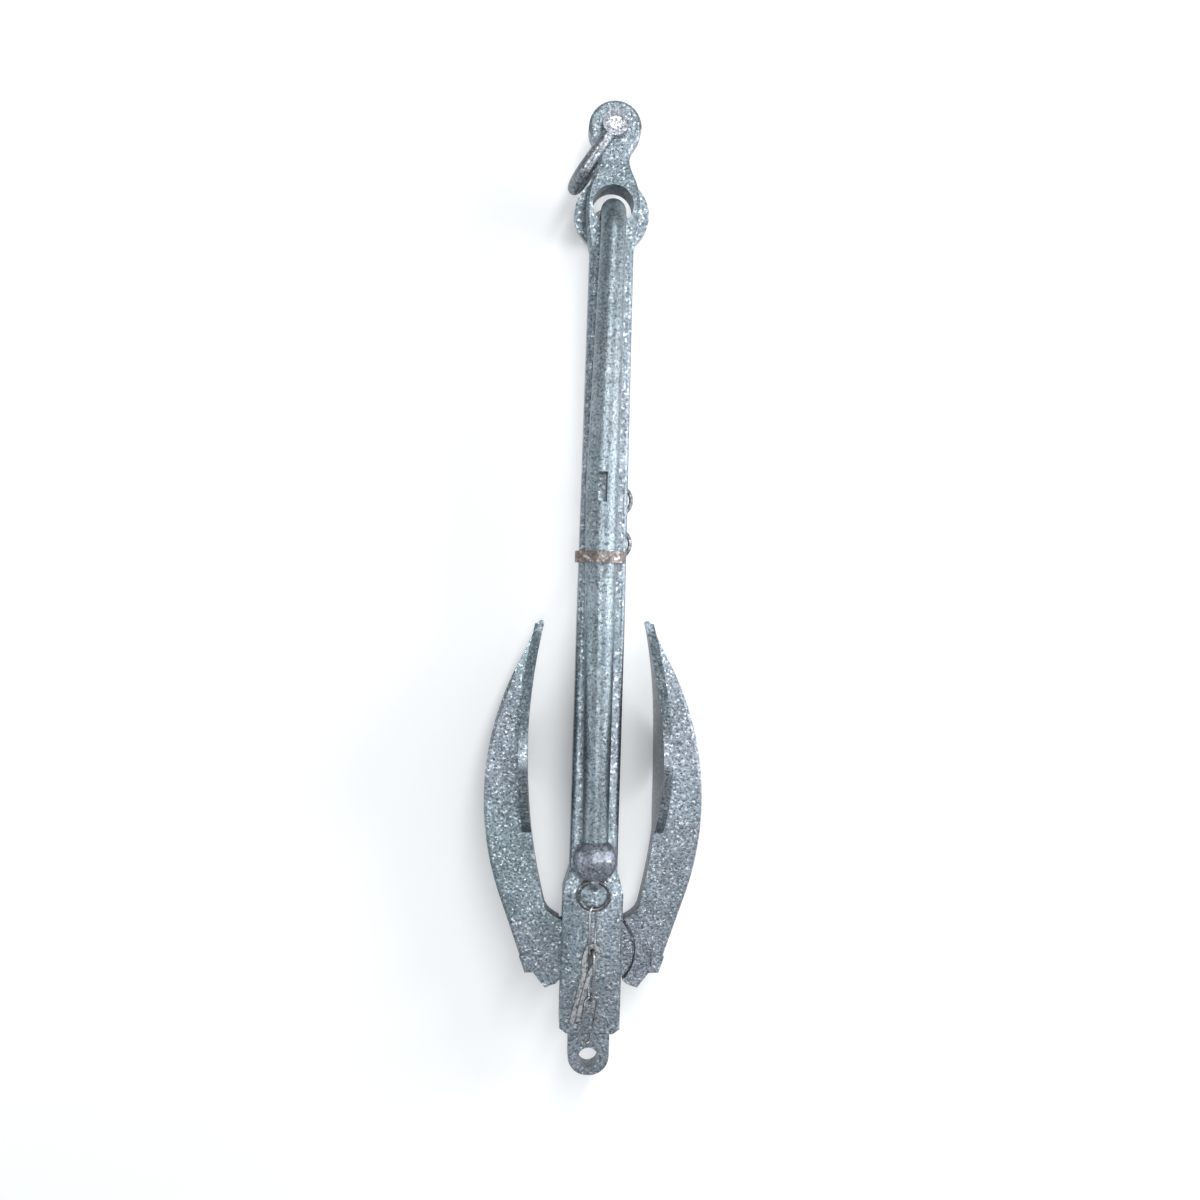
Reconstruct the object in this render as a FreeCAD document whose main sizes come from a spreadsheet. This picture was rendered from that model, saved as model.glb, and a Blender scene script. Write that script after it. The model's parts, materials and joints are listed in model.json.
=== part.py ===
import FreeCAD, Part
import math
import os
import Sketcher

# Folding fisherman anchor, stowed: the arms lie along the shank and the stock lies in front of it.
# Millimetres. +Y runs up the shank to the head, +X is right, +Z is up off the ground.
# The anchor lies on its back, on the rims of both palms and on the rear ball of the stock.
# Every piece is drawn round the crown pin or its own pin, then placed in the frame.

SIZES = [
    # Shank: heights are above the crown pin
    ("eye_height", 661.0), ("eye_width", 42.4), ("eye_depth", 24.0), ("eye_edge", 2.2),
    ("neck_radius", 22.0), ("neck_width", 24.6), ("boss_width", 42.8), ("boss_length", 70.0),
    ("stock_hole_drop", 63.5), ("stock_hole_width", 33.0),
    ("flange_width", 61.0), ("flange_depth", 9.0), ("flange_drop", 2.5),
    ("shank_depth", 30.0), ("shank_top_width", 35.0), ("shank_root_width", 38.4),
    ("root_length", 200.0), ("shank_edge", 4.0), ("flare_length", 18.0),
    # Crown block: the forked foot of the shank, with the tab below it
    ("block_width", 48.0), ("block_depth", 45.0), ("block_top", 46.0), ("block_drop", 65.5),
    ("block_corner_width", 5.5), ("block_corner_height", 4.0), ("block_edge", 1.5),
    ("window_depth", 24.6), ("window_top", 36.0), ("window_drop", 50.5),
    ("tab_width", 33.0), ("tab_depth", 24.0), ("tab_drop", 101.0), ("tab_round", 15.5),
    ("tab_hole_drop", 87.0), ("tab_hole_width", 16.0),
    ("crown_pin_width", 14.0), ("running_fit", 0.05), ("pin_recess", 2.0),
    # Arms: drawn folded, for the right side, round the crown pin
    ("arm_depth", 29.0), ("knuckle_depth", 24.0), ("lap_radius", 33.0), ("lap_gap", 2.5),
    ("lap_clearance", 0.3), ("lean_angle", 1.0), ("open_angle", 45.0),
    ("outer_radius", 235.0), ("arm_reach", 87.5), ("belly_height", 121.0),
    ("outer_foot", 40.0), ("outer_head", 235.0), ("heel_angle", 19.3), ("tip_height", 262.0),
    ("tip_outer_x", 45.2), ("tip_depth", 7.0), ("tip_taper_length", 50.0),
    ("inner_radius", 477.0), ("inner_reach", 53.0), ("hollow_height", 154.0),
    ("crotch_height", 34.0), ("crotch_radius", 24.0), ("heel_x", 37.1), ("heel_y", -30.8),
    ("heel_relief_angle", 0.8),
    ("notch_x", 46.4), ("notch_y", -18.8), ("arm_edge", 2.5),
    ("step_top_x", 35.5), ("lug_depth", 44.0), ("lug_top", -4.0), ("lug_foot", -16.5),
    ("lug_width", 10.5), ("stop_clearance", 0.3),
    ("palm_radius", 60.0), ("palm_height", 150.0), ("palm_point", 264.0), ("palm_thickness", 7.0),
    ("palm_nose", 3.0), ("palm_foot_length", 62.0), ("palm_foot_radius", 90.0),
    # Stock: a bar bent square at the head, lying in front of the shank
    ("bar_end_width", 20.0), ("bar_middle_width", 26.0), ("bar_middle_height", 369.0),
    ("bar_bow", 3.0),
    ("bend_radius", 20.0), ("slot_width", 7.0), ("slot_length", 23.5),
    ("collar_width", 40.6), ("collar_thickness", 9.0), ("collar_height", 314.0),
    ("ball_width", 35.2), ("ball_length", 31.0), ("ball_height", 75.5), ("ball_flat", 18.0),
    ("ball_eye_width", 6.0), ("ball_eye_radius", 6.4), ("ball_eye_hole", 6.6), ("ball_eye_drop", 17.0),
    ("seat_clearance", 0.3),
    # Shackle at the head eye
    ("shackle_rod", 10.5), ("shackle_reach", 39.0), ("shackle_ear", 20.8), ("shackle_ear_depth", 11.5),
    ("shackle_gap", 0.5),
    ("shackle_pin", 11.2), ("shackle_angle", 33.5), ("shackle_pin_recess", 1.5),
    # Ring, chain and forelock key on the stock's end ball
    ("ring_wire", 3.6), ("ring_width", 28.0), ("link_wire", 2.0), ("link_width", 12.0),
    ("link_length", 41.0), ("link_gap", 0.3), ("link_opening", 3.0),
    ("key_eye_width", 12.5), ("key_leaf", 3.2), ("key_strip", 3.6), ("key_length", 66.0),
    ("key_eye_length", 27.0), ("key_short_leg", 8.5), ("key_split", 0.6), ("key_angle", 13.0),
    ("key_shift", 0.2), ("key_rise", 2.4),
    ("first_roll_angle", 60.0), ("second_roll_angle", -70.0), ("second_link_slack", 0.7),
    ("third_roll_angle", 20.0), ("third_pitch_angle", 6.0), ("third_yaw_angle", -8.0),
    ("third_link_slack", 0.7), ("third_link_shift", 1.5),
    # Lashing rings on the back of the shank
    ("staple_radius", 6.5), ("staple_wire", 3.6), ("staple_x", 10.8),
    ("upper_staple_height", 374.5), ("staple_pitch", 35.5),
]


class Size:
    """A number from the sheet, kept together with the expression that gives it."""

    def __init__(self, value, text):
        self.value = value
        self.text = text

    def __add__(self, other):
        other = as_size(other)
        return Size(self.value + other.value, f"({self.text} + {other.text})")

    def __sub__(self, other):
        other = as_size(other)
        return Size(self.value - other.value, f"({self.text} - {other.text})")

    def __mul__(self, other):
        other = as_size(other)
        return Size(self.value * other.value, f"({self.text} * {other.text})")

    def __truediv__(self, other):
        other = as_size(other)
        return Size(self.value / other.value, f"({self.text} / {other.text})")

    def __neg__(self):
        return Size(-self.value, f"(-1 * {self.text})")

    __radd__ = __add__
    __rmul__ = __mul__

    def __rsub__(self, other):
        return as_size(other) - self


def as_size(number):
    return number if isinstance(number, Size) else Size(float(number), f"({float(number)})")


def root(size):
    return Size(math.sqrt(size.value), f"sqrt({size.text})")


def sine(angle):
    angle = as_size(angle)
    return Size(math.sin(math.radians(angle.value)), f"sin({angle.text})")


def cosine(angle):
    angle = as_size(angle)
    return Size(math.cos(math.radians(angle.value)), f"cos({angle.text})")


def arcsine(ratio):
    return Size(math.degrees(math.asin(ratio.value)), f"(asin({ratio.text}) / 1 deg)")


def bow_radius(half_chord, rise):
    """Radius of the arc that rises this much over half its chord."""
    return (half_chord * half_chord + rise * rise) / (rise * 2)


def other_side(long_side, short_side):
    """The third side of a right-angled triangle."""
    return root(long_side * long_side - short_side * short_side)


def fill_sheet(doc):
    sheet = doc.addObject("Spreadsheet::Sheet", "sizes")
    for row, (alias, value) in enumerate(SIZES, start=1):
        sheet.set(f"A{row}", alias)
        sheet.set(f"B{row}", str(value))
        sheet.setAlias(f"B{row}", alias)
    doc.recompute()
    return {alias: Size(float(sheet.get(alias)), f"sizes.{alias}") for alias, _ in SIZES}


doc = FreeCAD.newDocument("folding_anchor")
S = fill_sheet(doc)


def bind(item, prop, size):
    item.setExpression(prop, as_size(size).text)


def place(item, x=0, y=0, z=0):
    """Put a finished piece at a point measured from the crown pin."""
    bind(item, "Placement.Base.x", PIN_X + x)
    bind(item, "Placement.Base.y", PIN_Y + y)
    bind(item, "Placement.Base.z", PIN_Z + z)


def turn(item, axis, angle):
    item.Placement = FreeCAD.Placement(FreeCAD.Vector(), FreeCAD.Rotation(FreeCAD.Vector(*axis), 1.0))
    bind(item, "Placement.Rotation.Angle", angle)


def new_body(name):
    body = doc.addObject("PartDesign::Body", name)
    body.Label = name
    return body


def origin_plane(body, role):
    return next(item for item in body.Origin.OriginFeatures if item.Role == role)


def new_sketch(body, name, role, lift=None):
    sketch = body.newObject("Sketcher::SketchObject", name)
    sketch.AttachmentSupport = [(origin_plane(body, role), "")]
    sketch.MapMode = "FlatFace"
    if lift is not None:
        bind(sketch, "AttachmentOffset.Base.z", lift)
    return sketch


def pin_point(sketch, edge, end, x, y):
    """Hold one point of a sketch at a place worked out from the sheet."""
    for kind, size in (("DistanceX", as_size(x)), ("DistanceY", as_size(y))):
        number = sketch.addConstraint(Sketcher.Constraint(kind, -1, 1, edge, end, size.value))
        sketch.setExpression(f"Constraints[{number}]", size.text)


def pin_radius(sketch, edge, radius):
    number = sketch.addConstraint(Sketcher.Constraint("Radius", edge, as_size(radius).value))
    sketch.setExpression(f"Constraints[{number}]", as_size(radius).text)


def arc_through(start, finish, radius, side):
    """The arc from start to finish. Side 1 turns left of the way forward, -1 turns right."""
    middle = (start + finish) * 0.5
    half = (finish - start).Length / 2
    rise = math.sqrt(max(radius * radius - half * half, 0))
    along = (finish - start).normalize()
    centre = middle + FreeCAD.Vector(-along.y, along.x, 0) * rise * side
    bulge = (middle - centre).normalize() if rise > 1e-9 else FreeCAD.Vector(along.y, -along.x, 0) * side
    crest = centre + bulge * radius
    return Part.Arc(start, crest, finish) if side > 0 else Part.Arc(finish, crest, start)


def outline(sketch, path, closed=True):
    """Draw corners (x, y) joined by lines, or by arcs where a step adds (radius, side)."""
    corners = [FreeCAD.Vector(as_size(step[0]).value, as_size(step[1]).value, 0) for step in path]
    edges = []
    count = len(path) if closed else len(path) - 1
    for number in range(count):
        start = corners[number]
        finish = corners[(number + 1) % len(path)]
        bend = path[(number + 1) % len(path)][2:]
        if bend:
            arc = arc_through(start, finish, as_size(bend[0]).value, bend[1])
            edge = sketch.addGeometry(arc, False)
            ends = (1, 2) if bend[1] > 0 else (2, 1)
            pin_radius(sketch, edge, bend[0])
        else:
            edge = sketch.addGeometry(Part.LineSegment(start, finish), False)
            ends = (1, 2)
        edges.append((edge, ends))
    for number, (edge, ends) in enumerate(edges):
        pin_point(sketch, edge, ends[0], path[number][0], path[number][1])
        if number + 1 < len(edges) or closed:
            after, after_ends = edges[(number + 1) % len(edges)]
            sketch.addConstraint(Sketcher.Constraint("Coincident", edge, ends[1], after, after_ends[0]))
        else:
            pin_point(sketch, edge, ends[1], path[-1][0], path[-1][1])
    return sketch


def circle(sketch, x, y, radius):
    centre = FreeCAD.Vector(as_size(x).value, as_size(y).value, 0)
    edge = sketch.addGeometry(Part.Circle(centre, FreeCAD.Vector(0, 0, 1), as_size(radius).value), False)
    pin_point(sketch, edge, 3, x, y)
    pin_radius(sketch, edge, radius)
    return sketch


def pad(body, name, sketch, length, midplane=True, backwards=False):
    feature = body.newObject("PartDesign::Pad", name)
    feature.Profile = sketch
    feature.SideType = "Symmetric" if midplane else "One side"
    feature.Reversed = backwards
    bind(feature, "Length", length)
    return feature


def pocket(body, name, sketch, length, midplane=True, backwards=False):
    feature = body.newObject("PartDesign::Pocket", name)
    feature.Profile = sketch
    feature.SideType = "Symmetric" if midplane else "One side"
    feature.Reversed = backwards
    bind(feature, "Length", length)
    return feature


def revolve(body, name, sketch, axis, angle=360):
    feature = body.newObject("PartDesign::Revolution", name)
    feature.Profile = sketch
    feature.ReferenceAxis = (sketch, [axis])
    bind(feature, "Angle", angle)
    return feature


def many_sided(sketch, x, y, radius, sides):
    """A round drawn with flats."""
    step = 360 / sides
    path = [(x + radius * cosine(step * (number + 0.5)), y + radius * sine(step * (number + 0.5)))
            for number in range(sides)]
    return outline(sketch, path)


def edges_where(body, size, wanted):
    """The edges of the body so far, longer than the size, whose points all pass the test."""
    doc.recompute()
    base = body.Tip
    names = [f"Edge{number}" for number, edge in enumerate(base.Shape.Edges, start=1)
             if all(wanted(point) for point in edge.discretize(5)) and edge.Length > size.value]
    return base, names


def soften(body, name, radius, wanted):
    base, names = edges_where(body, radius, wanted)
    feature = body.newObject("PartDesign::Fillet", name)
    feature.Base = (base, names)
    bind(feature, "Radius", radius)
    return feature


def bevel(body, name, size, wanted):
    base, names = edges_where(body, size, wanted)
    feature = body.newObject("PartDesign::Chamfer", name)
    feature.Base = (base, names)
    bind(feature, "Size", size)
    return feature


# Rounds that are drawn with flats, and how many
BAR_SIDES = 24
ROD_SIDES = 12
WIRE_SIDES = 8
RING_STEPS = 12
LINK_STEPS = 8
STAPLE_STEPS = 8
BALL_BANDS = 6

# Places that several pieces share, all measured from the crown pin
PIN_X = S["belly_height"] * sine(S["lean_angle"])
PIN_Y = -(S["eye_height"] + S["eye_width"] / 2 - S["tab_drop"]) / 2
PIN_Z = S["palm_radius"]
SHANK_FACE = S["shank_depth"] / 2
CHEEK_FACE = S["block_depth"] / 2
HOLE_Y = S["eye_height"] - S["stock_hole_drop"]
LEG_Y = HOLE_Y - (S["stock_hole_width"] - S["bar_end_width"]) / 2 + S["seat_clearance"]
BAR_Z = SHANK_FACE + S["collar_width"] / 2 + S["seat_clearance"]
SHANK_TOP = HOLE_Y - S["boss_length"] / 2
FLARE_TOP = S["block_top"] + S["flare_length"]
TAPER = (S["boss_width"] - S["shank_top_width"]) / 2
CROWN_BORE = S["crown_pin_width"] / 2 + S["running_fit"]
SHACKLE_BORE = S["shackle_pin"] / 2 + S["running_fit"]


def mirrored(path):
    """The right half of a symmetric outline, top to bottom, with its left half added."""
    back = []
    for number in range(len(path) - 1, -1, -1):
        step = path[number]
        bend = path[number + 1][2:] if number + 1 < len(path) else ()
        back.append((-as_size(step[0]), step[1], *bend))
    return list(path) + back


def shank():
    """One forging: head eye, boss, flange, shank bar, forked crown block and tab."""
    body = new_body("shank")
    eye = S["eye_width"] / 2
    half_boss = S["boss_width"] / 2
    block = S["block_width"] / 2
    tab = S["tab_width"] / 2
    # The neck is one hollow curve that runs smoothly into the eye above and the boss below
    hollow = S["neck_radius"]
    hollow_x = S["neck_width"] / 2 + hollow
    hollow_y = S["eye_height"] - other_side(eye + hollow, hollow_x)
    rise = hollow_y - HOLE_Y
    swell = hollow_x - half_boss
    boss = (swell * swell + rise * rise - hollow * hollow) / (S["boss_width"] - S["neck_width"])
    eye_share = eye / (eye + hollow)
    boss_share = boss / (boss + hollow)
    front = mirrored([
        (eye, S["eye_height"]),
        (hollow_x * eye_share, S["eye_height"] - (S["eye_height"] - hollow_y) * eye_share, eye, -1),
        (half_boss - boss + (boss + swell) * boss_share, HOLE_Y + rise * boss_share, hollow, 1),
        (half_boss, HOLE_Y, boss, -1),
        (S["shank_top_width"] / 2, SHANK_TOP, bow_radius(S["boss_length"] / 2, TAPER), -1),
        (S["shank_root_width"] / 2, FLARE_TOP + S["root_length"]),
        (S["shank_root_width"] / 2, FLARE_TOP),
        (block, S["block_top"]),
        (block, -S["block_drop"] + S["block_corner_height"]),
        (block - S["block_corner_width"], -S["block_drop"]),
        (tab, -S["block_drop"]),
        (tab, -S["tab_drop"] + S["tab_round"]),
        (tab - S["tab_round"], -S["tab_drop"], S["tab_round"], -1),
    ])
    front[0] = (eye, S["eye_height"], eye, -1)
    front.append((0, S["eye_height"] + eye, eye, -1))
    sketch = outline(new_sketch(body, "shank_front", "XY_Plane"), front)
    pad(body, "shank_plate", sketch, S["block_depth"])

    # The side view sets the depth: thin at the eye, full at the bar and block, thin at the tab
    beyond = S["block_depth"]
    side = [
        (S["eye_height"] + eye * 2, S["eye_depth"] / 2),
        (hollow_y, S["eye_depth"] / 2),
        (HOLE_Y, SHANK_FACE),
        (FLARE_TOP, SHANK_FACE),
        (S["block_top"], CHEEK_FACE),
        (S["block_top"], beyond),
        (S["eye_height"] + eye * 2, beyond),
    ]
    foot = [
        (-S["block_drop"], CHEEK_FACE),
        (-S["block_drop"], S["tab_depth"] / 2),
        (-S["tab_drop"] * 2, S["tab_depth"] / 2),
        (-S["tab_drop"] * 2, beyond),
        (-S["block_drop"], beyond),
    ]
    for name, path in (("upper", side), ("foot", foot)):
        for face, sign in (("front", 1), ("back", -1)):
            turned = [(step[0], step[1] * sign) for step in path]
            sketch = outline(new_sketch(body, f"{name}_{face}", "YZ_Plane"), turned)
            pocket(body, f"{name}_{face}_cut", sketch, S["block_width"] * 2)

    # Rounded edges before anything is pierced
    soften(body, "bar_edges", S["shank_edge"],
           lambda p: abs(abs(p.z) - SHANK_FACE.value) < 0.01 and abs(p.x) > S["shank_top_width"].value * 0.4
           and FLARE_TOP.value - 1 < p.y < SHANK_TOP.value + 1)
    bevel(body, "eye_edges", S["eye_edge"],
          lambda p: abs(abs(p.z) - S["eye_depth"].value / 2) < 0.01
          and abs(math.hypot(p.x, p.y - S["eye_height"].value) - eye.value) < 0.01)
    bevel(body, "block_edges", S["block_edge"],
          lambda p: abs(abs(p.z) - CHEEK_FACE.value) < 0.01)

    # Flange round the stock hole, on the back only
    flange = circle(new_sketch(body, "flange_round", "XY_Plane", -SHANK_FACE + S["flange_depth"] * 0.5),
                    0, HOLE_Y - S["flange_drop"], S["flange_width"] / 2)
    pad(body, "flange", flange, S["flange_depth"], midplane=False, backwards=True)

    # Holes: shackle pin, stock, crown pin, trip line
    reach = S["block_depth"] * 2
    holes = (("eye_hole", S["eye_height"], SHACKLE_BORE),
             ("stock_hole", HOLE_Y, S["stock_hole_width"] / 2),
             ("crown_hole", as_size(0), CROWN_BORE),
             ("tab_hole", -S["tab_hole_drop"], S["tab_hole_width"] / 2))
    for name, height, radius in holes:
        sketch = circle(new_sketch(body, f"{name}_round", "XY_Plane"), 0, height, radius)
        pocket(body, name, sketch, reach)

    # Window through the block, where the arms cross
    half = S["window_depth"] / 2
    window = outline(new_sketch(body, "window_sides", "YZ_Plane"),
                     [(S["window_top"], half), (S["window_top"], -half),
                      (-S["window_drop"], -half), (-S["window_drop"], half)])
    pocket(body, "window", window, S["block_width"] * 2)
    place(body)
    return body


def crown_pin():
    """Plain pin, a little short of both cheeks."""
    body = new_body("crown_pin")
    half = CHEEK_FACE - S["pin_recess"]
    radius = S["crown_pin_width"] / 2
    pad(body, "crown_pin_rod", circle(new_sketch(body, "crown_pin_round", "XY_Plane"), 0, 0, radius), half * 2)
    place(body)
    return body


def tangent(angle):
    return sine(angle) / cosine(angle)


def palm(name):
    """A bent plate along the inner side of the arm, trimmed to a leaf with a point."""
    body = new_body(f"{name}_palm")
    inner = S["inner_radius"]
    skin = inner + S["palm_thickness"]
    foot = S["palm_height"] - S["palm_foot_length"]
    head = S["tip_height"]
    band = outline(new_sketch(body, f"{name}_palm_bend", "XY_Plane"), [
        (inner_at(foot, inner), foot, inner, -1),
        (inner_at(foot, skin), foot),
        (inner_at(head, skin), head, skin, 1),
        (inner_at(head, inner), head),
    ])
    pad(body, f"{name}_palm_band", band, S["palm_radius"] * 2)

    radius = S["palm_radius"]
    height = S["palm_height"]
    angle = arcsine(radius / (S["palm_point"] - height))
    nose = S["palm_nose"]
    nose_y = S["palm_point"] - nose / sine(angle)
    side = (height + radius * sine(angle), radius * cosine(angle))
    tip = (nose_y + nose * sine(angle), nose * cosine(angle))
    frame = radius + S["palm_thickness"]
    spare = S["palm_thickness"]
    leaf = new_sketch(body, f"{name}_palm_leaf", "YZ_Plane")
    outline(leaf, [(foot - spare, -frame), (head + spare, -frame), (head + spare, frame),
                   (foot - spare, frame)])
    outline(leaf, [
        (side[0], -side[1], radius, 1),
        (tip[0], -tip[1]),
        (tip[0], tip[1], nose, 1),
        (side[0], side[1]),
        (height, radius, radius, 1),
        (foot, 0, S["palm_foot_radius"], 1),
        (height, -radius, S["palm_foot_radius"], 1),
    ])
    pocket(body, f"{name}_palm_trim", leaf, S["block_width"] * 4)
    return body


def outer_at(height):
    return S["arm_reach"] - S["outer_radius"] + other_side(S["outer_radius"], height - S["belly_height"])


def inner_at(height, radius):
    return S["inner_reach"] - S["inner_radius"] + other_side(radius, height - S["hollow_height"])


def straight_at(height):
    """The arm's outer side below the bow, which runs straight in towards the heel."""
    return outer_at(S["outer_foot"]) - (S["outer_foot"] - height) * tangent(S["heel_angle"])


def stop_at(height):
    """The line of the stop: flat against the cheek when the arm is open."""
    reach = S["block_width"] / 2 + S["stop_clearance"]
    return (reach - height * sine(S["open_angle"])) / cosine(S["open_angle"])


def arm_bar(name):
    """The arm without its palm: lap, heel, stop lug and bowed arm, for the right side."""
    body = new_body(f"{name}_bar")
    lap = S["lap_radius"]
    inner = S["inner_radius"]
    heel_x, heel_y = S["heel_x"], S["heel_y"]
    # The heel's end is cut square to the straight side, then back so that two open arms don't meet
    relief = S["open_angle"] - S["heel_relief_angle"]
    trim = (heel_x * tangent(relief) + heel_y) / (cosine(S["heel_angle"]) * tangent(relief)
                                                 - sine(S["heel_angle"]))
    half = Size(math.sqrt(0.5), "sqrt(0.5)")
    nose = (S["tip_outer_x"] - inner_at(S["tip_height"], inner)) / 2
    plan = outline(new_sketch(body, f"{name}_plan", "XY_Plane"), [
        (inner_at(S["crotch_height"], inner), S["crotch_height"], S["crotch_radius"], 1),
        (inner_at(S["tip_height"], inner), S["tip_height"], inner, 1),
        (S["tip_outer_x"], S["tip_height"], nose * 1.05, -1),
        (outer_at(S["outer_head"]), S["outer_head"]),
        (outer_at(S["outer_foot"]), S["outer_foot"], S["outer_radius"], -1),
        (straight_at(S["notch_y"]), S["notch_y"]),
        (S["notch_x"], S["notch_y"]),
        (heel_x, heel_y),
        (heel_x - trim * cosine(S["heel_angle"]), heel_y + trim * sine(S["heel_angle"])),
        (lap * cosine(relief), -lap * sine(relief)),
        (-lap, 0, lap, -1),
        (lap * half, lap * half, lap, -1),
    ])
    pad(body, f"{name}_plate", plan, S["arm_depth"])

    # Point: the arm thins towards the tip, front and back
    start = S["tip_height"] - S["tip_taper_length"]
    end = S["tip_height"] + 10
    for face, sign in (("front", 1), ("back", -1)):
        taper = outline(new_sketch(body, f"{name}_taper_{face}", "YZ_Plane"), [
            (start, S["arm_depth"] / 2 * sign), (end, S["tip_depth"] / 2 * sign),
            (end, S["arm_depth"] * sign), (start, S["arm_depth"] * sign)])
        pocket(body, f"{name}_point_{face}", taper, S["block_width"] * 4)
    bevel(body, f"{name}_edges", S["arm_edge"],
          lambda p: abs(abs(p.z) - S["arm_depth"].value / 2) < 0.01
          and abs(p.x - outer_at(Size(p.y, "0")).value) < 0.01)

    # Knuckle: thinner, so that it passes between the cheeks, as far as the step and the stop
    step_x = straight_at(S["lug_top"]) - S["lug_width"] * cosine(S["heel_angle"])
    lug_head = S["lug_top"] + S["lug_width"] * sine(S["heel_angle"])
    step_y = (S["block_width"] / 2 + S["stop_clearance"] - step_x * cosine(S["open_angle"]))
    step_y = step_y / sine(S["open_angle"])
    far = lap * 2
    thin = [(S["step_top_x"], far), (S["step_top_x"], S["crotch_height"]), (step_x, lug_head),
            (step_x, step_y), (stop_at(-far), -far), (-far, -far), (-far, far)]
    for face, sign in (("front", 1), ("back", -1)):
        sketch = new_sketch(body, f"{name}_knuckle_{face}", "XY_Plane", S["knuckle_depth"] / 2 * sign)
        pocket(body, f"{name}_knuckle_cut_{face}", outline(sketch, thin), S["arm_depth"],
               midplane=False, backwards=sign > 0)

    # Lap: the front half goes, so that the other arm's lap lies in its place
    lift = -S["lap_clearance"] / 2
    recess = circle(new_sketch(body, f"{name}_recess", "XY_Plane", lift), 0, 0, lap + S["lap_gap"])
    pocket(body, f"{name}_lap_cut", recess, S["arm_depth"], midplane=False, backwards=True)

    # Stop lug, proud of the arm on both faces
    lug = outline(new_sketch(body, f"{name}_lug_plan", "XY_Plane"), [
        (straight_at(S["lug_top"]), S["lug_top"]), (step_x, lug_head), (step_x, step_y),
        (stop_at(S["lug_foot"]), S["lug_foot"]), (straight_at(S["lug_foot"]), S["lug_foot"])])
    pad(body, f"{name}_lug", lug, S["lug_depth"])

    bore = circle(new_sketch(body, f"{name}_bore_round", "XY_Plane"), 0, 0, CROWN_BORE)
    pocket(body, f"{name}_bore", bore, S["lug_depth"] * 2)
    return body


def arm(name, turned_over):
    """One casting: lap, heel, stop lug, arm and palm. Both arms are the same, one turned over."""
    fused = doc.addObject("Part::Fuse", name)
    fused.Label = name
    fused.Base = arm_bar(name)
    fused.Tool = palm(name)
    fused.Refine = True
    turn(fused, (0, 0, 1), S["lean_angle"])
    if turned_over:
        # Half a turn about the shank, then the lean: the same as half a turn about a leaning line
        fused.Placement = FreeCAD.Placement(FreeCAD.Vector(), FreeCAD.Rotation(FreeCAD.Vector(0, 1, 0), 180))
        fused.setExpression("Placement.Rotation.Angle", None)
        bind(fused, "Placement.Rotation.Axis.x", -sine(S["lean_angle"] / 2))
        bind(fused, "Placement.Rotation.Axis.y", cosine(S["lean_angle"] / 2))
    place(fused)
    return fused


def stock_bar():
    """Round bar, thickest in the middle, bent square at the head to pass through the shank."""
    body = new_body("stock_bar")
    end = S["bar_end_width"] / 2
    top = LEG_Y - S["bend_radius"]
    sections = [(top, end, as_size(0)), (S["bar_middle_height"], S["bar_middle_width"] / 2, -S["bar_bow"]),
                (S["ball_height"], end, as_size(0))]
    rounds = [many_sided(new_sketch(body, f"bar_round_{number}", "XZ_Plane", -height),
                         x, BAR_Z, radius, BAR_SIDES)
              for number, (height, radius, x) in enumerate(sections)]
    loft = body.newObject("PartDesign::AdditiveLoft", "bar_leg")
    loft.Profile = rounds[0]
    loft.Sections = rounds[1:]
    loft.Ruled = True

    bend = new_sketch(body, "bar_bend_round", "XZ_Plane", -top)
    many_sided(bend, 0, BAR_Z, end, BAR_SIDES)
    axis = bend.addGeometry(Part.LineSegment(FreeCAD.Vector(-10, (BAR_Z - S["bend_radius"]).value, 0),
                                             FreeCAD.Vector(10, (BAR_Z - S["bend_radius"]).value, 0)), True)
    pin_point(bend, axis, 1, -10, BAR_Z - S["bend_radius"])
    pin_point(bend, axis, 2, 10, BAR_Z - S["bend_radius"])
    feature = revolve(body, "bar_bend", bend, "Axis0", 90)
    feature.Reversed = True

    leg = many_sided(new_sketch(body, "bar_short_round", "XY_Plane", BAR_Z - S["bend_radius"]),
                     0, LEG_Y, end, BAR_SIDES)
    pad(body, "bar_short_leg", leg, BAR_Z - S["bend_radius"] + REAR_BALL, midplane=False, backwards=True)

    half_slot = S["slot_length"] / 2
    left = -S["bar_bow"] - S["slot_width"] / 2
    right = -S["bar_bow"] + S["slot_width"] / 2
    low = S["bar_middle_height"] - half_slot
    high = S["bar_middle_height"] + half_slot
    slot = outline(new_sketch(body, "key_slot_sides", "XY_Plane", BAR_Z),
                   [(left, low), (right, low), (right, high), (left, high)])
    pocket(body, "key_slot", slot, S["bar_middle_width"] * 2)
    place(body)
    return body


def seated(name, blank, bar):
    """A piece bored out to the bar that passes through it."""
    place(blank)
    cut = doc.addObject("Part::Cut", name)
    cut.Label = name
    cut.Base = blank
    cut.Tool = bar
    return cut


def stock_collar(bar):
    body = new_body("collar_blank")
    radius = S["collar_width"] / 2
    half = S["collar_thickness"] / 2
    sketch = new_sketch(body, "collar_round", "XZ_Plane", -S["collar_height"])
    circle(sketch, -S["bar_bow"] * 0.9, BAR_Z, radius)
    pad(body, "collar_disc", sketch, half * 2)
    return seated("stock_collar", body, bar)


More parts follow.
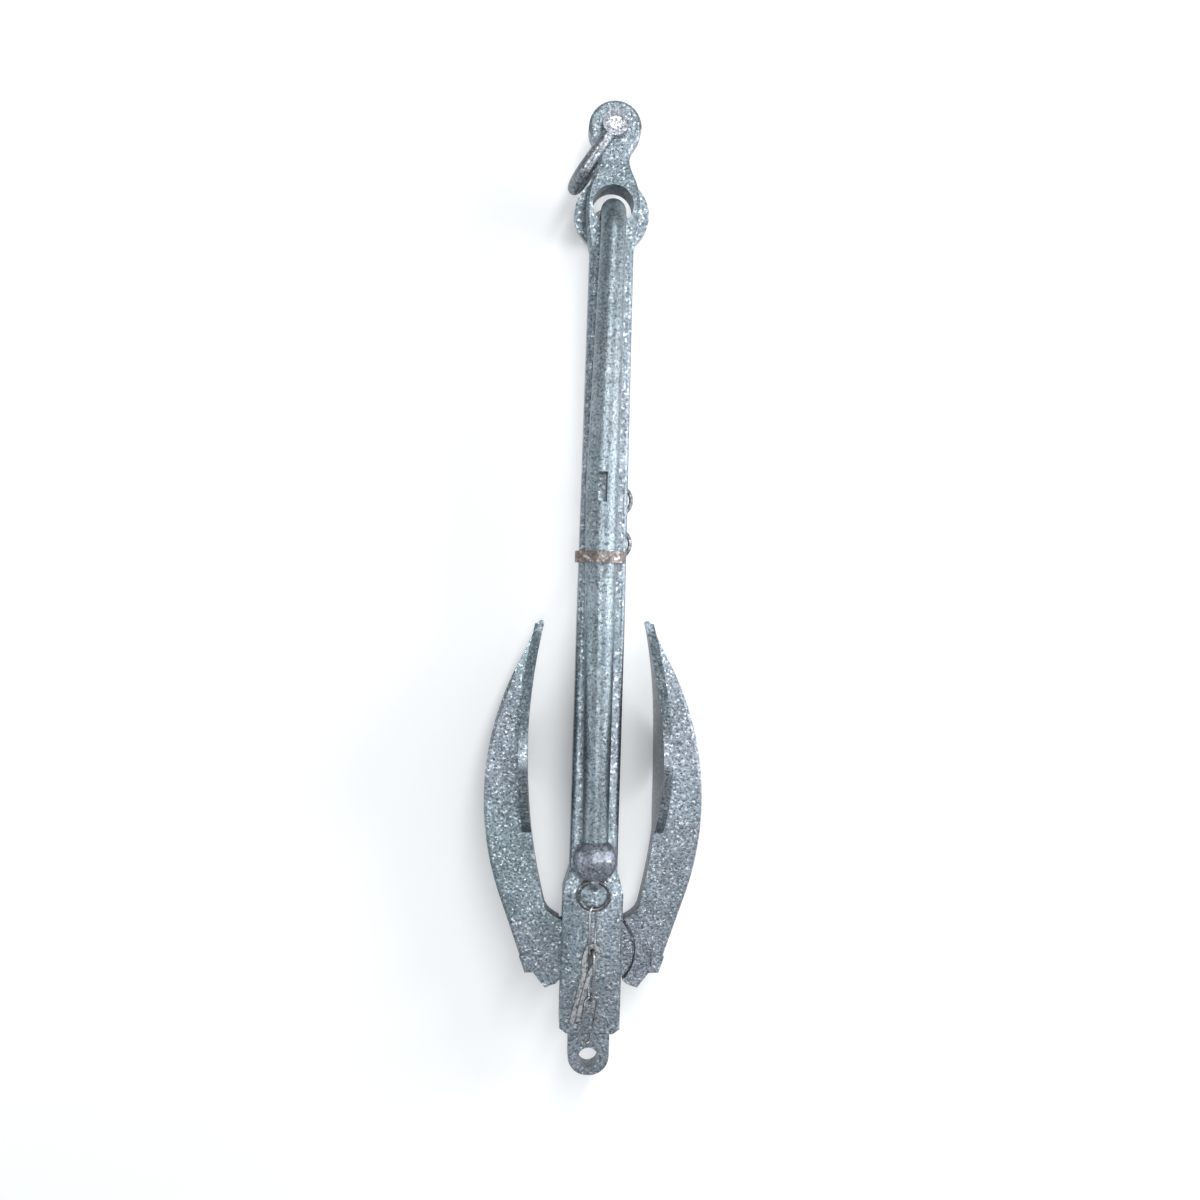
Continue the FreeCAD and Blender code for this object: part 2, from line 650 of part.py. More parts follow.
def ball(name, bar, with_eye):
    """Forged ball, flat at both ends. The end ball has an eye for the ring."""
    body = new_body(f"{name}_blank")
    half = S["ball_length"] / 2
    flat = S["ball_flat"] / 2
    swell = S["ball_width"] / 2 - flat
    bow = bow_radius(half, swell)
    sweep = arcsine(half / bow)
    right = []
    for number in range(BALL_BANDS + 1):
        angle = sweep * (number * 2 / BALL_BANDS - 1)
        right.append((S["ball_width"] / 2 - bow + bow * cosine(angle), bow * sine(angle)))
    side_view = right + [(-x, y) for x, y in reversed(right)]
    pad(body, f"{name}_billet", outline(new_sketch(body, f"{name}_side", "XY_Plane"), side_view),
        S["ball_width"])
    # The same side view is cut from every side in turn, which leaves the ball with small flats
    wide = S["ball_width"]
    trim = new_sketch(body, f"{name}_trim", "XY_Plane")
    outline(trim, [(-wide, -wide), (wide, -wide), (wide, wide), (-wide, wide)])
    outline(trim, side_view)
    cut = pocket(body, f"{name}_cut", trim, wide * 2)
    turns = body.newObject("PartDesign::PolarPattern", f"{name}_turns")
    turns.Originals = [cut]
    turns.Axis = (origin_plane(body, "Y_Axis"), [""])
    turns.Angle = 180 * (1 - 2 / BAR_SIDES)
    turns.Occurrences = BAR_SIDES // 2
    body.Tip = turns
    if with_eye:
        lobe = circle(new_sketch(body, f"{name}_eye_round", "YZ_Plane"),
                      -S["ball_eye_drop"], 0, S["ball_eye_radius"])
        pad(body, f"{name}_eye", lobe, S["ball_eye_width"])
        hole = circle(new_sketch(body, f"{name}_eye_hole_round", "YZ_Plane"),
                      -S["ball_eye_drop"], 0, S["ball_eye_hole"] / 2)
        pocket(body, f"{name}_eye_hole", hole, S["ball_width"] * 2)
    shaped = doc.addObject("Part::Cut", name)
    shaped.Label = name
    shaped.Base = body
    shaped.Tool = bar
    return body, shaped


def end_ball(bar):
    blank, piece = ball("stock_end_ball", bar, with_eye=True)
    place(blank, 0, S["ball_height"], BAR_Z)
    return piece


def rear_ball(bar):
    blank, piece = ball("stock_rear_ball", bar, with_eye=False)
    blank.Placement = FreeCAD.Placement(FreeCAD.Vector(), FreeCAD.Rotation(FreeCAD.Vector(1, 0, 0), 90))
    place(blank, 0, LEG_Y, -REAR_BALL)
    return piece


def shackle():
    """U bow with two flat ears, and its pin through the head eye."""
    side = S["eye_depth"] / 2 + S["shackle_gap"] + S["shackle_ear_depth"] / 2
    body = new_body("shackle_bow")
    spine = outline(new_sketch(body, "shackle_line", "YZ_Plane"),
                    [(0, side), (-S["shackle_reach"], side), (-S["shackle_reach"] - side, 0, side, 1),
                     (-S["shackle_reach"], -side, side, 1), (0, -side)], closed=False)
    profile = many_sided(new_sketch(body, "shackle_rod_round", "XZ_Plane"), 0, side,
                         S["shackle_rod"] / 2, ROD_SIDES)
    pipe = body.newObject("PartDesign::AdditivePipe", "shackle_bend")
    pipe.Profile = profile
    pipe.Spine = (spine, [])
    for face, sign in (("front", 1), ("back", -1)):
        ear = circle(new_sketch(body, f"shackle_ear_{face}_round", "XY_Plane", side * sign),
                     0, 0, S["shackle_ear"] / 2)
        pad(body, f"shackle_ear_{face}", ear, S["shackle_ear_depth"])
    bore = circle(new_sketch(body, "shackle_bore_round", "XY_Plane"), 0, 0, SHACKLE_BORE)
    pocket(body, "shackle_bore", bore, side * 4)

    pin = new_body("shackle_pin")
    radius = S["shackle_pin"] / 2
    half = side + S["shackle_ear_depth"] / 2 - S["shackle_pin_recess"]
    pad(pin, "shackle_pin_rod", circle(new_sketch(pin, "shackle_pin_round", "XY_Plane"), 0, 0, radius),
        half * 2)
    for piece in (body, pin):
        turn(piece, (0, 0, -1), S["shackle_angle"])
        place(piece, 0, S["eye_height"], 0)
    return [body, pin]


def half_loop(name, width, length, wire, steps):
    """Wire bent to half a ring or half a link, its ends on the plane between the two halves."""
    body = new_body(name)
    bend = (width - wire) / 2
    straight = (length - width) / 2
    turn_each = 180 / steps
    corner = bend / cosine(turn_each / 2)
    path = [(0, -straight - bend)]
    for number in range(steps):
        angle = turn_each * (number + 0.5) - 90
        shift = -straight if angle < 0 else straight
        path.append((corner * cosine(angle), shift + corner * sine(angle)))
    path.append((0, straight + bend))
    spine = outline(new_sketch(body, f"{name}_line", "XY_Plane"), path, closed=False)
    profile = many_sided(new_sketch(body, f"{name}_round", "YZ_Plane"), -straight - bend, 0,
                         wire / 2, WIRE_SIDES)
    pipe = body.newObject("PartDesign::AdditivePipe", f"{name}_bend")
    pipe.Profile = profile
    pipe.Spine = (spine, [])
    pipe.Transition = "Right corner"
    return body


def loop(name, width, length, wire, steps):
    """A closed ring or link of round wire, drawn flat and centred."""
    body = half_loop(name, width, length, wire, steps)
    mirror = body.newObject("PartDesign::Mirrored", f"{name}_other_half")
    mirror.Originals = [body.Tip]
    mirror.MirrorPlane = (origin_plane(body, "YZ_Plane"), [""])
    body.Tip = mirror
    return body


def ring(name):
    return loop(name, S["ring_width"], S["ring_width"], S["ring_wire"], RING_STEPS)


def stock_ring():
    """Ring through the eye of the end ball, its lower side let down towards the cheek."""
    piece = ring("stock_ring")
    turn(piece, (1, 0, 0), RING_TILT)
    place(piece, 0, EYE_Y - RING_RADIUS * cosine(RING_TILT), BAR_Z - RING_RADIUS * sine(RING_TILT))
    return piece


def link(name, opening=False):
    """Long link of round wire. The last link's ends don't quite meet."""
    body = loop(name, S["link_width"], S["link_length"], S["link_wire"], LINK_STEPS)
    if opening:
        half = S["link_opening"] / 2
        low = -S["link_length"]
        gap = outline(new_sketch(body, f"{name}_gap", "XY_Plane"),
                      [(-half, low), (half, low), (half, 0), (-half, 0)])
        pocket(body, f"{name}_gap_cut", gap, S["link_width"])
    return body


def forelock_key(name):
    """Split key of one flat strip, folded round to an eye, one leg shorter than the other."""
    body = new_body(name)
    eye = S["key_eye_width"] / 2
    hole = eye - S["key_leaf"]
    split = S["key_split"] / 2
    leg = split + S["key_leaf"]
    neck = eye - S["key_eye_length"]
    long_end = eye - S["key_length"]
    short_end = long_end + S["key_short_leg"]
    wide = -S["key_eye_length"] * 0.3
    inner_neck = neck + S["key_leaf"]
    sketch = outline(new_sketch(body, f"{name}_edge", "XY_Plane"), [
        (-leg, long_end), (-leg, neck), (-eye, wide), (-eye, 0), (0, eye, eye, -1), (eye, 0, eye, -1),
        (eye, wide), (leg, neck), (leg, short_end), (split, short_end), (split, inner_neck),
        (hole, wide), (hole, 0), (0, hole, hole, 1), (-hole, 0, hole, 1), (-hole, wide),
        (-split, inner_neck), (-split, long_end)])
    pad(body, f"{name}_strip", sketch, S["key_strip"])
    return body


def staple_and_ring(number, height):
    """A half-round staple welded to the back of the shank, with a ring hanging in it."""
    width = S["staple_radius"] * 2 + S["staple_wire"]
    staple = half_loop(f"rear_staple_{number}", width, width, S["staple_wire"], STAPLE_STEPS)
    turn(staple, (0, 1, 0), 90)
    place(staple, S["staple_x"], height, -SHANK_FACE)
    hung = ring(f"rear_ring_{number}")
    place(hung, S["staple_x"], height - RING_RADIUS,
          -SHANK_FACE - S["ring_wire"] / 2 - S["seat_clearance"])
    return [staple, hung]


REAR_BALL = PIN_Z - S["ball_length"] / 2
EYE_Y = S["ball_height"] - S["ball_eye_drop"]
RING_RADIUS = (S["ring_width"] - S["ring_wire"]) / 2
CHAIN_Z = CHEEK_FACE + S["link_width"] / 2 + S["link_gap"]
RING_TILT = arcsine((BAR_Z - CHAIN_Z) / (RING_RADIUS * 2))
RING_FOOT = EYE_Y - RING_RADIUS * 2 * cosine(RING_TILT)
HALF_LINK = (S["link_length"] - S["link_wire"]) / 2


def lay(piece, roll, pitch, yaw, x, y, z):
    """Turn a link about its own length, tip it, swing it level, and hang it by its top end."""
    turned = FreeCAD.Rotation(FreeCAD.Vector(0, 0, 1), yaw.value)
    turned = turned * FreeCAD.Rotation(FreeCAD.Vector(1, 0, 0), pitch.value)
    turned = turned * FreeCAD.Rotation(FreeCAD.Vector(0, 1, 0), roll.value)
    piece.Placement = FreeCAD.Placement(FreeCAD.Vector(), turned)
    place(piece, x + HALF_LINK * sine(yaw) * cosine(pitch), y - HALF_LINK * cosine(yaw) * cosine(pitch),
          z - HALF_LINK * sine(pitch))
    return piece


def chain():
    """Three links from the ring, lying down over the cheek, and the key hung on the first."""
    level = as_size(0)
    first_top = RING_FOOT + (S["ring_wire"] + S["link_wire"]) / 2 + S["link_gap"]
    first_foot = first_top - HALF_LINK * 2
    first = lay(link("chain_link_1"), S["first_roll_angle"], level, level, 0, first_top, CHAIN_Z)
    second_top = first_foot + S["link_wire"] + S["link_gap"] + S["second_link_slack"]
    second = lay(link("chain_link_2"), S["second_roll_angle"], level, level, 0, second_top, CHAIN_Z)
    third_top = second_top - HALF_LINK * 2 + S["link_wire"] + S["link_gap"] + S["third_link_slack"]
    third = lay(link("chain_link_3", opening=True), S["third_roll_angle"], S["third_pitch_angle"],
                S["third_yaw_angle"], S["third_link_shift"], third_top, CHAIN_Z)
    key = forelock_key("forelock_key")
    turn(key, (0, 0, -1), S["key_angle"])
    place(key, S["key_shift"], first_foot + S["key_rise"], CHAIN_Z)
    return [first, second, third, key]


pieces = [shank(), crown_pin(), arm("right_arm", False), arm("left_arm", True)]
bar = stock_bar()
pieces += [bar, stock_collar(bar), end_ball(bar), rear_ball(bar)]
pieces += shackle()
pieces.append(stock_ring())
pieces += chain()
pieces += staple_and_ring(1, S["upper_staple_height"])
pieces += staple_and_ring(2, S["upper_staple_height"] - S["staple_pitch"])

doc.recompute()
failed = [item.Name for item in doc.Objects if "Invalid" in item.State or "Error" in item.State]
failed += [piece.Label for piece in pieces if piece.Shape.isNull() or not piece.Shape.isValid()]
if failed:
    raise RuntimeError(f"these didn't build: {failed}")
for piece in pieces:
    box = piece.Shape.BoundBox
    print(piece.Label, len(piece.Shape.Solids), round(piece.Shape.Volume),
          [round(v, 1) for v in (box.XMin, box.XMax, box.YMin, box.YMax, box.ZMin, box.ZMax)])
os.makedirs("parts", exist_ok=True)
for piece in pieces:
    piece.Shape.exportStep(f"parts/{piece.Label}.step")
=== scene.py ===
# %% [markdown]
# A folding fisherman anchor, stowed: two palmed arms lie along the shank, and a round stock lies
# in front of it. Every forging, link and pin comes from the imported model, which is in metres with
# +Y up the shank and +Z off the ground. The script dresses it: smooth shading, galvanised skins,
# light and camera.

# %% Load the frame
import bpy
import json
import math
from mathutils import Euler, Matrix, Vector


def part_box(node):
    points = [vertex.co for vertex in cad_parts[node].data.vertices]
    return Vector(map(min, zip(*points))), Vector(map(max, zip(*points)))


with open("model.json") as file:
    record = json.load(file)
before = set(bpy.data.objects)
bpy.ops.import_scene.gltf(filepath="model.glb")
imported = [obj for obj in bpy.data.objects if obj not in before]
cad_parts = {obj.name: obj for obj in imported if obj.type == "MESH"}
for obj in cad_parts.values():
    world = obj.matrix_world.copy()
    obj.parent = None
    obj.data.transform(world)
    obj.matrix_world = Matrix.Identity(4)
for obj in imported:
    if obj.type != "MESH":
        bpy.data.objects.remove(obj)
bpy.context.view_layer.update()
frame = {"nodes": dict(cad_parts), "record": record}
nodes = frame["nodes"]

# %% [markdown]
# The camera is placed from the crown pin, where the arms turn. The shackle pin at the head is
# printed beside it, which shows how far apart the two lie along the shank.

# %% Places on the anchor


def middle(name):
    low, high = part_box(name)
    return (low + high) / 2


crown = middle("crown_pin")
head = middle("shackle_pin")
print("crown pin", [round(v, 4) for v in crown], "shackle pin", [round(v, 4) for v in head])

# %% [markdown]
# The model draws round bars, balls and wires with flats, and comes as loose triangles. A real
# forging has no such flats, so each piece gets a small node tree: it merges the triangles at their
# corners, then shades them smooth, except across edges that are truly sharp. Wires have few sides,
# so their limit angle is wider. Blender's own Smooth by Angle does the same, but it is an asset
# file, and this script reads none.

# %% Smooth shading that keeps the sharp edges
MERGE_DISTANCE = 0.000002
LIMIT_DEG = 32
WIRE_LIMIT_DEG = 50
WIRES = ("stock_ring", "rear_", "chain_", "shackle_bow")


def smooth_tree():
    tree = bpy.data.node_groups.new("smooth between sharp edges", "GeometryNodeTree")
    tree.interface.new_socket(name="Geometry", in_out="INPUT", socket_type="NodeSocketGeometry")
    limit = tree.interface.new_socket(name="Sharp above", in_out="INPUT", socket_type="NodeSocketFloat")
    tree.interface.new_socket(name="Geometry", in_out="OUTPUT", socket_type="NodeSocketGeometry")
    given = tree.nodes.new("NodeGroupInput")
    out = tree.nodes.new("NodeGroupOutput")
    merge = tree.nodes.new("GeometryNodeMergeByDistance")
    merge.inputs["Distance"].default_value = MERGE_DISTANCE
    smooth = tree.nodes.new("GeometryNodeSetShadeSmooth")
    sharp = tree.nodes.new("GeometryNodeSetShadeSmooth")
    sharp.domain = "EDGE"
    sharp.inputs["Shade Smooth"].default_value = False
    angle = tree.nodes.new("GeometryNodeInputMeshEdgeAngle")
    steep = tree.nodes.new("FunctionNodeCompare")
    steep.operation = "GREATER_THAN"
    tree.links.new(given.outputs["Geometry"], merge.inputs["Geometry"])
    tree.links.new(merge.outputs["Geometry"], smooth.inputs["Geometry"])
    tree.links.new(smooth.outputs["Geometry"], sharp.inputs["Geometry"])
    tree.links.new(angle.outputs["Unsigned Angle"], steep.inputs[0])
    tree.links.new(given.outputs["Sharp above"], steep.inputs[1])
    tree.links.new(steep.outputs["Result"], sharp.inputs["Selection"])
    tree.links.new(sharp.outputs["Geometry"], out.inputs["Geometry"])
    return tree, limit.identifier


SMOOTH, LIMIT_SOCKET = smooth_tree()
for name, node in nodes.items():
    modifier = node.modifiers.new("smooth", "NODES")
    modifier.node_group = SMOOTH
    modifier[LIMIT_SOCKET] = math.radians(WIRE_LIMIT_DEG if name.startswith(WIRES) else LIMIT_DEG)
print("smooth shading on", len(nodes), "nodes")

# %% [markdown]
# Hot-dip galvanising leaves a skin of zinc that is neither mirror nor paint. On a forging it
# shows orange peel from the scaled iron, small pits, a broad drift between bluish and lavender
# grey, and freckles where the zinc froze. One shader group holds all of it, because every piece
# shares it with other amounts. It reads Object coordinates, so that the pattern stays on the
# piece from every side. The group gives colours, values and a height; the shader itself stays in
# each material.

# %% A helper for shader groups
MIX_FACTOR, MIX_FIRST, MIX_SECOND, MIX_RESULT = 0, 6, 7, 2


def group_socket(group, name, kind, value=None, way="INPUT"):
    socket = group.interface.new_socket(name=name, in_out=way, socket_type=kind)
    if value is not None:
        socket.default_value = value


def add(tree, kind, **settings):
    """A node with its settings and the values of its inputs, given by name."""
    node = tree.nodes.new(kind)
    for name, value in settings.items():
        if name == "inputs":
            for key, given in value.items():
                node.inputs[key].default_value = given
        else:
            setattr(node, name, value)
    return node


def feed(tree, socket, given):
    """Links another node's output to the socket, or sets the socket to a plain value."""
    if isinstance(given, bpy.types.NodeSocket):
        tree.links.new(given, socket)
    else:
        socket.default_value = given


def mix_colours(tree, factor, first, second):
    node = add(tree, "ShaderNodeMix", data_type="RGBA")
    feed(tree, node.inputs[MIX_FACTOR], factor)
    feed(tree, node.inputs[MIX_FIRST], first)
    feed(tree, node.inputs[MIX_SECOND], second)
    return node.outputs[MIX_RESULT]


def sum_up(tree, operation, first, second):
    node = add(tree, "ShaderNodeMath", operation=operation)
    feed(tree, node.inputs[0], first)
    feed(tree, node.inputs[1], second)
    return node.outputs[0]


def band(tree, value, low, high):
    """0 at low, 1 at high, straight between and level beyond, also where low is the larger."""
    node = add(tree, "ShaderNodeMapRange", inputs={"From Min": low, "From Max": high})
    tree.links.new(value, node.inputs["Value"])
    return node.outputs["Result"]


print("helpers for shader groups: ready")

# %% The zinc skin group
FINE_PER_GRAIN = 2.6
FROZEN_PER_GRAIN = 1.25
PITS_PER_GRAIN = 0.55
CLOUD_DEPTH = 0.35
FRECKLE_DEPTH = 0.55
# How far the low places of the orange peel are darkened: painted shade in the hollows.
PAINTED_HOLLOW_SHADE = 0.7
FINE_ROUGHNESS = 0.18
FRECKLE_SHINE = 0.12
PEEL_HEIGHT = 0.75
FINE_HEIGHT = 0.25
PIT_HEIGHT = 0.6
FROST = (0.80, 0.83, 0.87, 1)


def zinc_skin():
    group = bpy.data.node_groups.new("zinc skin", "ShaderNodeTree")
    group_socket(group, "Zinc", "NodeSocketColor", (0.40, 0.46, 0.51, 1))
    group_socket(group, "Tint", "NodeSocketColor", (0.43, 0.43, 0.50, 1))
    group_socket(group, "Pit and shade colour", "NodeSocketColor", (0.10, 0.12, 0.13, 1))
    group_socket(group, "Grain", "NodeSocketFloat", 330.0)
    group_socket(group, "Freckles", "NodeSocketFloat", 0.5)
    group_socket(group, "Pits", "NodeSocketFloat", 0.5)
    group_socket(group, "Roughness", "NodeSocketFloat", 0.45)
    group_socket(group, "Colour", "NodeSocketColor", way="OUTPUT")
    group_socket(group, "Roughness", "NodeSocketFloat", way="OUTPUT")
    group_socket(group, "Height", "NodeSocketFloat", way="OUTPUT")
    given = group.nodes.new("NodeGroupInput")
    out = group.nodes.new("NodeGroupOutput")
    place = add(group, "ShaderNodeTexCoord").outputs["Object"]

    def noise(scale, detail, roughness=0.55):
        node = add(group, "ShaderNodeTexNoise", inputs={"Detail": detail, "Roughness": roughness})
        group.links.new(place, node.inputs["Vector"])
        feed(group, node.inputs["Scale"], scale)
        return node.outputs["Fac"]

    def cells(scale):
        node = add(group, "ShaderNodeTexVoronoi", feature="F1")
        group.links.new(place, node.inputs["Vector"])
        feed(group, node.inputs["Scale"], scale)
        return node

    grain = given.outputs["Grain"]
    drift = band(group, noise(scale=9.0, detail=2.0), low=0.38, high=0.62)
    cloud = band(group, noise(scale=45.0, detail=3.0), low=0.35, high=0.68)
    peel = noise(grain, detail=3.0, roughness=0.6)
    fine = noise(sum_up(group, "MULTIPLY", grain, FINE_PER_GRAIN), detail=2.0)
    frozen = cells(sum_up(group, "MULTIPLY", grain, FROZEN_PER_GRAIN))
    shade = add(group, "ShaderNodeSeparateColor")
    group.links.new(frozen.outputs["Color"], shade.inputs[0])
    hole = cells(sum_up(group, "MULTIPLY", grain, PITS_PER_GRAIN))
    few = band(group, noise(scale=60.0, detail=2.0), low=0.52, high=0.66)
    pit = band(group, hole.outputs["Distance"], low=0.30, high=0.12)
    pit = sum_up(group, "MULTIPLY", sum_up(group, "MULTIPLY", pit, few), given.outputs["Pits"])

    colour = mix_colours(group, drift, given.outputs["Zinc"], given.outputs["Tint"])
    darker = mix_colours(group, CLOUD_DEPTH, colour, given.outputs["Pit and shade colour"])
    colour = mix_colours(group, cloud, darker, colour)
    bright = mix_colours(group, FRECKLE_DEPTH, colour, FROST)
    dull = mix_colours(group, FRECKLE_DEPTH, colour, given.outputs["Pit and shade colour"])
    light_cell = band(group, shade.outputs[0], low=0.70, high=0.95)
    up = sum_up(group, "MULTIPLY", light_cell, given.outputs["Freckles"])
    dark_cell = band(group, shade.outputs[1], low=0.75, high=0.95)
    down = sum_up(group, "MULTIPLY", dark_cell, given.outputs["Freckles"])
    colour = mix_colours(group, up, colour, bright)
    colour = mix_colours(group, down, colour, dull)
    # The low places of the peel are darkened towards the pit and shade colour: painted shade in the
    # hollows.
    painted_hollow_shade = sum_up(group, "MULTIPLY", band(group, peel, low=0.52, high=0.36), PAINTED_HOLLOW_SHADE)
    colour = mix_colours(group, painted_hollow_shade, colour, given.outputs["Pit and shade colour"])
    # The pits are darkened to the pit and shade colour: painted shade in them. On the collar that
    # colour is rust brown, so there the pits and the peel's hollows show rust as well as painted shade.
    colour = mix_colours(group, pit, colour, given.outputs["Pit and shade colour"])
    group.links.new(colour, out.inputs["Colour"])

    fine_part = sum_up(group, "MULTIPLY", fine, FINE_ROUGHNESS)
    rough = sum_up(group, "ADD", given.outputs["Roughness"], fine_part)
    rough = sum_up(group, "SUBTRACT", rough, sum_up(group, "MULTIPLY", up, FRECKLE_SHINE))
    group.links.new(rough, out.inputs["Roughness"])
    height = sum_up(group, "ADD", sum_up(group, "MULTIPLY", peel, PEEL_HEIGHT),
                    sum_up(group, "MULTIPLY", fine, FINE_HEIGHT))
    height = sum_up(group, "SUBTRACT", height, sum_up(group, "MULTIPLY", pit, PIT_HEIGHT))
    group.links.new(height, out.inputs["Height"])
    return group


skin = zinc_skin()
print("zinc skin group with", len(skin.nodes), "nodes")

# %% [markdown]
# Each kind of piece then gets one material: the forgings are grey-blue and pitted, the stock, its
# balls and the shackle a little paler, the ring wire darker, the chain and the key bright, and the
# collar browner all over.

# %% Materials


def zinc_material(name, zinc, tint, grain=460.0, freckles=0.8, pits=0.6, roughness=0.30, metal=0.75,
                  # The pit and shade colour darkens the pits and the peel's hollows as painted shade,
                  # and also the random clouds and dull freckles.
                  relief=0.0005, pit_and_shade_colour=(0.045, 0.055, 0.06)):
    material = bpy.data.materials.new(name)
    material.use_nodes = True
    tree = material.node_tree
    shader = tree.nodes["Principled BSDF"]
    shader.inputs["Metallic"].default_value = metal
    made = add(tree, "ShaderNodeGroup", node_tree=skin, inputs={
        "Zinc": (*zinc, 1), "Tint": (*tint, 1), "Pit and shade colour": (*pit_and_shade_colour, 1), "Grain": grain,
        "Freckles": freckles, "Pits": pits, "Roughness": roughness})
    tree.links.new(made.outputs["Colour"], shader.inputs["Base Color"])
    tree.links.new(made.outputs["Roughness"], shader.inputs["Roughness"])
    bump = add(tree, "ShaderNodeBump", inputs={"Strength": 1.0, "Distance": relief})
    tree.links.new(made.outputs["Height"], bump.inputs["Height"])
    tree.links.new(bump.outputs["Normal"], shader.inputs["Normal"])
    return material


finishes = {
    "galvanised": zinc_material("galvanised shank", (0.25, 0.32, 0.365), (0.29, 0.34, 0.40)),
    "galvanised_arm": zinc_material("galvanised arm", (0.24, 0.32, 0.36), (0.30, 0.34, 0.40),
                                    freckles=0.9, grain=520),
    "galvanised_bar": zinc_material("galvanised stock", (0.28, 0.355, 0.40), (0.33, 0.385, 0.43),
                                    freckles=0.4, grain=480, metal=0.8),
    "galvanised_ball": zinc_material("galvanised ball", (0.29, 0.33, 0.40), (0.38, 0.39, 0.46),
                                     freckles=0.8, pits=0.9),
    "rusty_collar": zinc_material("galvanised collar", (0.26, 0.27, 0.28), (0.19, 0.14, 0.10), pits=1.0,
                                  pit_and_shade_colour=(0.07, 0.035, 0.02)),
    "pin_steel": zinc_material("pin end", (0.17, 0.19, 0.21), (0.21, 0.22, 0.24)),
    "shackle_steel": zinc_material("shackle", (0.30, 0.33, 0.37), (0.36, 0.36, 0.42), metal=0.8),
    "ring_steel": zinc_material("ring wire", (0.20, 0.21, 0.23), (0.26, 0.27, 0.29), grain=600,
                                metal=0.85, roughness=0.33, relief=0.00012),
    "chain_steel": zinc_material("chain wire", (0.42, 0.43, 0.45), (0.50, 0.50, 0.52), grain=800,
                                 metal=0.9, roughness=0.25, relief=0.0001),
    "key_steel": zinc_material("key strip", (0.50, 0.51, 0.52), (0.56, 0.56, 0.58), grain=500,
                               metal=0.9, roughness=0.28, relief=0.0001),
}
slots = {part["node"]: part["material_slot"] for part in frame["record"]["subparts"]}
for name, node in nodes.items():
    node.data.materials.clear()
    node.data.materials.append(finishes[slots[name]])

# The shackle's pin shows as bright metal in the photograph
worn_pin = zinc_material("worn pin end", (0.62, 0.63, 0.66), (0.70, 0.70, 0.73), metal=0.85,
                         roughness=0.28, relief=0.0002)
nodes["shackle_pin"].data.materials[0] = worn_pin
print("materials:", len(finishes))

# %% [markdown]
# The floor is a plain pale sheet that catches the shadow. To the camera it glows a little as well,
# so that it is white where it is lit. The world behind it is plain white to the camera, and a dim
# fill to everything else. The light comes from one long, narrow lamp overhead, a little to the
# right and towards the head, from a weak lamp at the left and from a stronger one at the right.
# The long lamp draws the bright line down the middle of the round stock.

# %% Floor, backdrop and world
WHITE = (1.0, 1.0, 1.0, 1.0)
PAPER = (0.93, 0.94, 0.95, 1)
PAPER_ROUGHNESS = 0.9
PAPER_GLOW = 0.12
SKY = (0.93, 0.97, 1.0, 1)


def white_to_camera(tree, shader_output, strength=1.0, keep=False):
    """The given shader, but for camera and transmission rays a white glow in its place.

    With keep, those rays get the shader and the glow together.
    """
    path = add(tree, "ShaderNodeLightPath")
    seen = sum_up(tree, "MAXIMUM", path.outputs["Is Camera Ray"], path.outputs["Is Transmission Ray"])
    glow = add(tree, "ShaderNodeEmission", inputs={"Color": WHITE, "Strength": strength})
    lit = glow.outputs[0]
    if keep:
        both = add(tree, "ShaderNodeAddShader")
        tree.links.new(shader_output, both.inputs[0])
        tree.links.new(lit, both.inputs[1])
        lit = both.outputs[0]
    mix = add(tree, "ShaderNodeMixShader")
    tree.links.new(seen, mix.inputs[0])
    tree.links.new(shader_output, mix.inputs[1])
    tree.links.new(lit, mix.inputs[2])
    return mix.outputs[0]


def studio_floor(size=3.0):
    mesh = bpy.data.meshes.new("floor")
    half = size / 2
    corners = [(-half, -half, 0), (half, -half, 0), (half, half, 0), (-half, half, 0)]
    mesh.from_pydata(corners, [], [(0, 1, 2, 3)])
    floor = bpy.data.objects.new("floor", mesh)
    bpy.context.scene.collection.objects.link(floor)
    material = bpy.data.materials.new("floor paper")
    material.use_nodes = True
    tree = material.node_tree
    paper = tree.nodes["Principled BSDF"]
    paper.inputs["Base Color"].default_value = PAPER
    paper.inputs["Roughness"].default_value = PAPER_ROUGHNESS
    shown = white_to_camera(tree, paper.outputs[0], PAPER_GLOW, keep=True)
    tree.links.new(shown, tree.nodes["Material Output"].inputs["Surface"])
    mesh.materials.append(material)


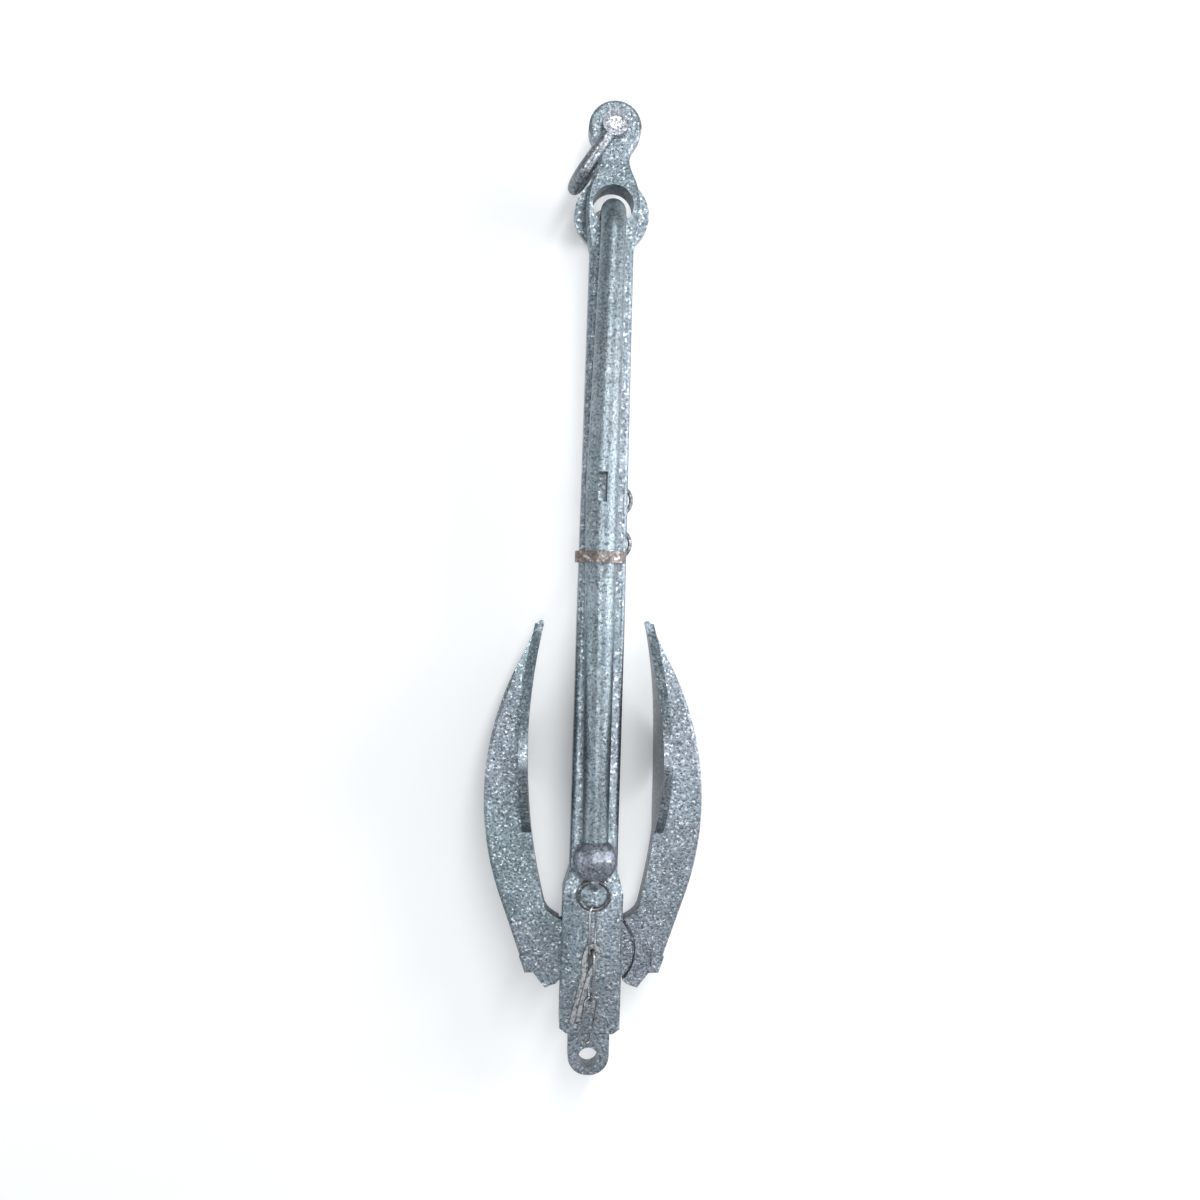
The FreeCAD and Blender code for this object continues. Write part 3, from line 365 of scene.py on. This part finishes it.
def studio_world(strength=0.42):
    world = bpy.data.worlds.new("studio")
    bpy.context.scene.world = world
    world.use_nodes = True
    tree = world.node_tree
    fill = tree.nodes["Background"]
    fill.inputs["Color"].default_value = SKY
    fill.inputs["Strength"].default_value = strength
    tree.links.new(white_to_camera(tree, fill.outputs[0]), tree.nodes["World Output"].inputs["Surface"])


studio_floor()
studio_world()
print("floor and world: ready")

# %% Lamps
AIM = (0, 0, 0.05)


def lamp(name, place, size, power, colour=(1, 1, 1)):
    light = bpy.data.lights.new(name, "AREA")
    light.shape = "RECTANGLE"
    light.size, light.size_y = size
    light.energy = power
    light.color = colour
    item = bpy.data.objects.new(name, light)
    item.location = place
    item.rotation_euler = (Vector(AIM) - Vector(place)).to_track_quat("-Z", "Y").to_euler()
    bpy.context.scene.collection.objects.link(item)


lamp("overhead", place=(0.15, 0.35, 1.75), size=(0.22, 1.6), power=17)
lamp("left side", place=(-1.3, -0.2, 0.6), size=(0.5, 1.2), power=4, colour=(0.94, 0.97, 1.0))
lamp("right side", place=(1.2, 0.1, 0.5), size=(0.4, 1.2), power=12)

# %% [markdown]
# The photograph looks down from about 1.3 m above the middle of the anchor, from a touch to the
# left, with the head leaning a little to the right. A 48 mm lens on a 36 mm frame then gives the
# same perspective: the palms' rims, nearest the lens, spread outwards over the shank.

# %% Camera
LENS_MM = 48.0
SENSOR_MM = 36.0
EYE_HEIGHT = 1.295
EYE_ASIDE = -0.0007
EYE_UP_THE_SHANK = 0.2788
SIDE_TILT_DEG = -2.3
HEAD_LEAN_DEG = 1.69
TILT_SHIFT = EYE_HEIGHT * math.tan(math.radians(SIDE_TILT_DEG))
EYE_ABOVE_CROWN = Vector((EYE_ASIDE + TILT_SHIFT, EYE_UP_THE_SHANK, EYE_HEIGHT))

camera_data = bpy.data.cameras.new("camera")
camera_data.lens = LENS_MM
camera_data.sensor_width = SENSOR_MM
camera = bpy.data.objects.new("camera", camera_data)
camera.location = crown + EYE_ABOVE_CROWN
camera.rotation_euler = Euler((0, math.radians(SIDE_TILT_DEG), math.radians(HEAD_LEAN_DEG)))
bpy.context.scene.collection.objects.link(camera)
bpy.context.scene.camera = camera
bpy.context.scene.view_settings.view_transform = "Standard"
print("camera at", [round(v, 3) for v in camera.location])
